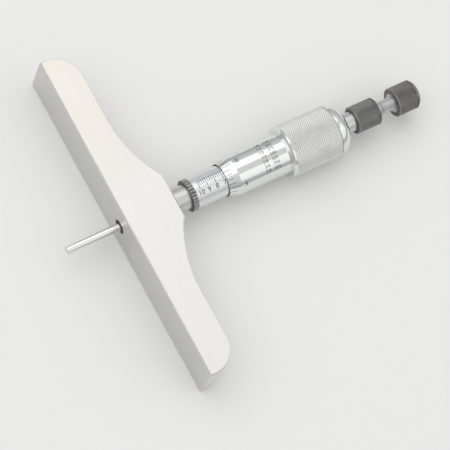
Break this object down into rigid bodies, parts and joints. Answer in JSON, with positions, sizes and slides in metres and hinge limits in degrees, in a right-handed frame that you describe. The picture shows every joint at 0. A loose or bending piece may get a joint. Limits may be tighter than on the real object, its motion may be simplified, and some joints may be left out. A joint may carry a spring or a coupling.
{
  "type": "depth micrometer",
  "caption": "Depth micrometer: a flat steel base with a rod that a graduated sleeve and knurled thimble advance by a fine screw, with a ratchet stop, lock ring and rod clamping cap.",
  "frame": {"origin": "on the spindle axis in the plane of the measuring face, at the middle of the base", "axes": "+X along the spindle axis from the measuring face to the cap, +Y along the base, +Z square to the broad faces of the base"},
  "size_m": [0.1162, 0.1016, 0.0158],
  "materials": {
    "ground_steel": "finely ground",
    "turned_steel": "fine turned",
    "hardened_steel": "ground",
    "polished_steel": "lapped bright",
    "satin_chrome": "satin, glare free",
    "black_oxide_steel": "blackened, satin",
    "spring_steel": "drawn wire",
    "bronze": "turned"
  },
  "bodies": {
    "frame": {"base": "ground_steel", "barrel": "turned_steel", "rod_guide_bush": "bronze", "graduated_sleeve": "satin_chrome", "adjusting_nut": "turned_steel"},
    "lock_ring_body": {"lock_ring": "black_oxide_steel"},
    "lock_pin_body": {"lock_pin": "hardened_steel"},
    "rod_body": {"measuring_rod": "polished_steel", "rod_adjusting_nut": "turned_steel", "rod_jam_nut": "turned_steel"},
    "screw_body": {"micrometer_screw": "hardened_steel", "thimble": "satin_chrome", "ratchet_hub": "turned_steel", "ratchet_snap_ring": "black_oxide_steel", "rod_seat": "turned_steel"},
    "ratchet_body": {"ratchet_barrel": "black_oxide_steel", "ratchet_spring": "spring_steel"},
    "clutch_body": {"ratchet_clutch": "hardened_steel"},
    "pad_body": {"cap_thrust_pad": "bronze"},
    "cap_body": {"rod_cap": "black_oxide_steel"}
  },
  "joints": [
    {"name": "rod_slide", "type": "slide", "parent": "frame", "child": "rod_body", "axis": [1, 0, 0], "range_m": [-0.00826, 0.01715]},
    {"name": "thimble_turn", "type": "hinge", "parent": "rod_body", "child": "screw_body", "pos_m": [0, 0, 0], "axis": [1, 0, 0], "range_deg": [-4680, 9720]},
    {"name": "lock_ring_turn", "type": "hinge", "parent": "frame", "child": "lock_ring_body", "pos_m": [0, 0, 0], "axis": [1, 0, 0], "range_deg": [0, 40.05]},
    {"name": "lock_pin_press", "type": "slide", "parent": "frame", "child": "lock_pin_body", "axis": [0, 0, -1], "range_m": [0, 0.00015]},
    {"name": "ratchet_turn", "type": "hinge", "parent": "screw_body", "child": "ratchet_body", "pos_m": [0, 0, 0], "axis": [1, 0, 0], "continuous": true},
    {"name": "clutch_slide", "type": "slide", "parent": "ratchet_body", "child": "clutch_body", "axis": [1, 0, 0], "range_m": [0, 0.0005], "stiffness_N_per_m": 400, "springref_m": -0.002, "deforming": ["ratchet_spring"]},
    {"name": "cap_rise", "type": "slide", "parent": "screw_body", "child": "pad_body", "axis": [1, 0, 0], "range_m": [0, 0.002]},
    {"name": "cap_turn", "type": "hinge", "parent": "pad_body", "child": "cap_body", "pos_m": [0, 0, 0], "axis": [1, 0, 0], "range_deg": [0, 1440.5]}
  ],
  "couplings": [
    {"joint": "thimble_turn", "follows": "rod_slide", "rad_per_m": 9894.8},
    {"joint": "lock_ring_turn", "follows": "lock_pin_press", "rad_per_m": 4654.2},
    {"joint": "cap_turn", "follows": "cap_rise", "rad_per_m": 12566}
  ]
}
